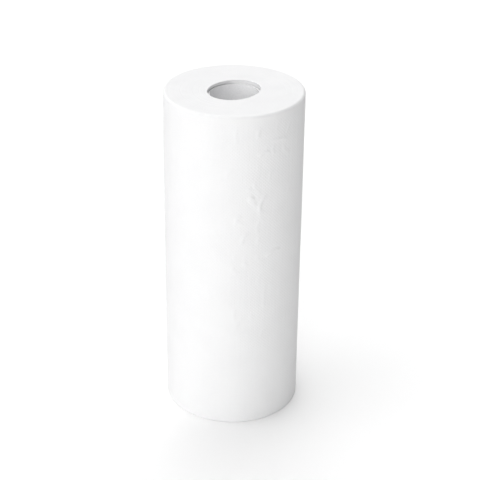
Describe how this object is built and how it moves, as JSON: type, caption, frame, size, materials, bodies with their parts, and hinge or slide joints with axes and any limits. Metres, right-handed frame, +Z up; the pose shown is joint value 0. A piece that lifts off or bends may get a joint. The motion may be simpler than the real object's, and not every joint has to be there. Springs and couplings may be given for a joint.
{
  "type": "exam table paper roll",
  "caption": "Slender roll of soft white embossed paper, wound in a spiral on a board tube with an open bore and standing on one cut end.",
  "frame": {"origin": "on the tube's axis, in the middle of the cut end that the roll stands on", "axes": "+Z up along the tube's axis, +Y towards the back, where the paper's free end lies, and +X to the right as seen from the front"},
  "size_m": [0.1009, 0.1014, 0.25],
  "materials": {
    "white_tissue": "matte",
    "tube_board": "matte"
  },
  "bodies": {
    "root": {"paper_roll": "white_tissue", "core_tube": "tube_board"}
  },
  "joints": []
}
